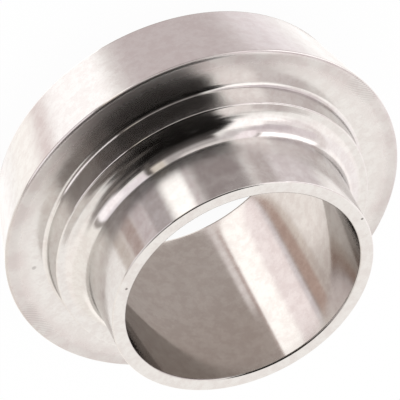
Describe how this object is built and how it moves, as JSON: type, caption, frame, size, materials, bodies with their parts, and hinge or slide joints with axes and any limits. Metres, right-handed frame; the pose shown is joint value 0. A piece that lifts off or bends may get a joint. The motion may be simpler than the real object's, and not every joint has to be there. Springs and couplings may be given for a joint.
{
  "type": "dairy union cone liner",
  "caption": "One-piece turned stainless cone liner of a dairy pipe union: thin weld tube, filleted root, centring step and a collar that tapers to the gasket face.",
  "frame": {"origin": "centre of the flat gasket face that the part stands on", "axes": "+Z along the bore axis, from the gasket face to the weld end"},
  "size_m": [0.0438, 0.0438, 0.0215],
  "materials": {
    "turned_steel": "fine turned and lightly polished stainless steel"
  },
  "bodies": {
    "root": {"cone_liner": "turned_steel"}
  },
  "joints": []
}
